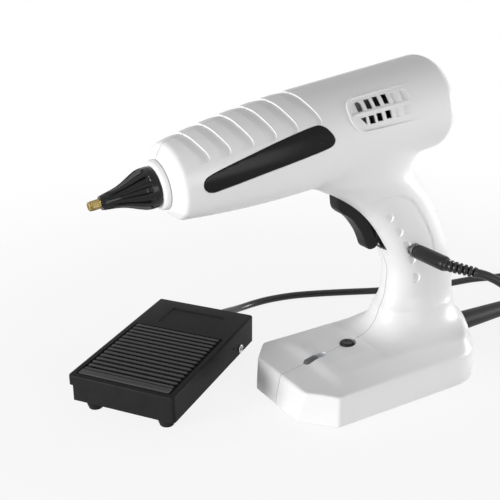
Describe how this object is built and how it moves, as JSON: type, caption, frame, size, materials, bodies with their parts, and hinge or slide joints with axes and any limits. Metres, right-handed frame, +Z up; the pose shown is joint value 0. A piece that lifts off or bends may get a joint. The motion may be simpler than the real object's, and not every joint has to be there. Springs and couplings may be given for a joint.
{
  "type": "hot melt glue gun",
  "caption": "Electric hot melt glue gun that stands on its own weighted base, with a foot pedal on a cord with a jack plug and a mains lead.",
  "frame": {"origin": "centre of the underside of the gun's base, on the surface it stands on", "axes": "+X towards the rear of the gun, the nozzle points to -X; +Y away from the side with the label panel; +Z up"},
  "size_m": [0.4617, 0.2686, 0.1959],
  "materials": {
    "white_plastic": "satin white moulded plastic",
    "label_black": "bare glossy black panel",
    "nozzle_black": "glossy black heat proof cap",
    "brass_tip": "turned brass",
    "black_plastic": "fine textured black plastic",
    "black_rubber": "soft black rubber",
    "cord_black": "smooth soft cord sheath",
    "steel": "bright plated steel",
    "aluminium": "cast aluminium",
    "lagging": "woven heat insulation",
    "silicone": "red silicone sleeve",
    "small_white": "pale moulded plastic",
    "board_green": "circuit board with solder mask",
    "dark_grey": "dark grey moulded plastic"
  },
  "bodies": {
    "casing": {"left_shell": "white_plastic", "right_shell": "white_plastic", "base_plate": "black_plastic", "base_pad": "black_rubber", "shell_screw_front": "steel", "shell_screw_rear": "steel", "shell_screw_handle": "steel", "base_screw_front": "steel", "base_screw_rear": "steel", "nose_ring": "white_plastic", "nozzle_cap": "nozzle_black", "nozzle_tip": "brass_tip", "label_panel": "label_black", "melt_chamber": "aluminium", "heater_band": "steel", "insulation_sleeve": "lagging", "chamber_mount": "black_plastic", "silicone_sleeve": "silicone", "guide_tube": "aluminium", "inlet_collar": "black_plastic", "feed_motor": "steel", "gearbox": "dark_grey", "feed_frame": "steel", "idler_pin": "steel", "idler_spring": "steel", "circuit_board": "board_green", "trigger_pin": "steel", "trigger_spring": "steel", "trigger_switch": "dark_grey", "jack_socket": "steel", "jack_plug": "black_plastic", "jack_plug_relief": "black_rubber", "power_switch_body": "dark_grey", "slider_plate": "small_white", "slider_switch_body": "dark_grey", "cable_boot": "black_rubber", "mains_lead": "cord_black", "mains_lead_coil": "cord_black", "mains_plug": "black_plastic", "pedal_base": "black_plastic", "pedal_hinge_pin": "steel", "pedal_spring": "steel", "pedal_switch": "dark_grey", "pedal_foot_front_left": "black_rubber", "pedal_foot_front_right": "black_rubber", "pedal_foot_rear_left": "black_rubber", "pedal_foot_rear_right": "black_rubber", "pedal_cord_gland": "black_rubber", "pedal_cord_run": "cord_black", "pedal_cord_coil": "cord_black", "pedal_cord_tail": "cord_black"},
    "trigger": {"trigger": "black_plastic"},
    "trigger_plunger": {"trigger_switch_plunger": "small_white"},
    "power_button": {"power_button": "black_plastic"},
    "mode_slider": {"mode_slider": "dark_grey"},
    "drive_roller": {"drive_roller": "steel"},
    "idler_arm": {"idler_arm": "steel"},
    "idler_roller": {"idler_roller": "steel"},
    "pedal_cover": {"pedal_cover": "black_plastic"},
    "pedal_plunger": {"pedal_switch_plunger": "small_white"}
  },
  "joints": [
    {"name": "trigger_pull", "type": "hinge", "parent": "casing", "child": "trigger", "pos_m": [-0.025, 0, 0.1285], "axis": [0, -1, 0], "range_deg": [0, 8], "stiffness_Nm_per_rad": 0.3},
    {"name": "trigger_plunger_slide", "type": "slide", "parent": "casing", "child": "trigger_plunger", "axis": [1, 0, 0], "range_m": [0, 0.0024]},
    {"name": "power_button_press", "type": "slide", "parent": "casing", "child": "power_button", "axis": [0, 0, -1], "range_m": [0, 0.0012], "stiffness_N_per_m": 800},
    {"name": "mode_slider_shift", "type": "slide", "parent": "casing", "child": "mode_slider", "axis": [0.9827, 0, 0.1854], "range_m": [0, 0.005]},
    {"name": "drive_roller_spin", "type": "hinge", "parent": "casing", "child": "drive_roller", "pos_m": [-0.01151, 0, 0.15182], "axis": [0, 1, 0], "continuous": true},
    {"name": "idler_arm_swing", "type": "hinge", "parent": "casing", "child": "idler_arm", "pos_m": [-0.00556, 0, 0.18133], "axis": [0, 1, 0], "range_deg": [0, 4], "stiffness_Nm_per_rad": 0.2},
    {"name": "idler_roller_spin", "type": "hinge", "parent": "idler_arm", "child": "idler_roller", "pos_m": [-0.01482, 0, 0.17538], "axis": [0, 1, 0], "continuous": true},
    {"name": "pedal_press", "type": "hinge", "parent": "casing", "child": "pedal_cover", "pos_m": [-0.0803, 0.0794, 0.0125], "axis": [0.5764, -0.8171, 0], "range_deg": [0, 3], "stiffness_Nm_per_rad": 4, "springref_deg": -2.86, "deforming": ["pedal_spring"]},
    {"name": "pedal_plunger_slide", "type": "slide", "parent": "casing", "child": "pedal_plunger", "axis": [0, 0, -1], "range_m": [0, 0.00128]}
  ],
  "couplings": [
    {"joint": "trigger_plunger_slide", "follows": "trigger_pull", "m_per_rad": 0.01718},
    {"joint": "idler_roller_spin", "follows": "drive_roller_spin", "ratio": -1},
    {"joint": "pedal_plunger_slide", "follows": "pedal_press", "m_per_rad": 0.0243}
  ]
}
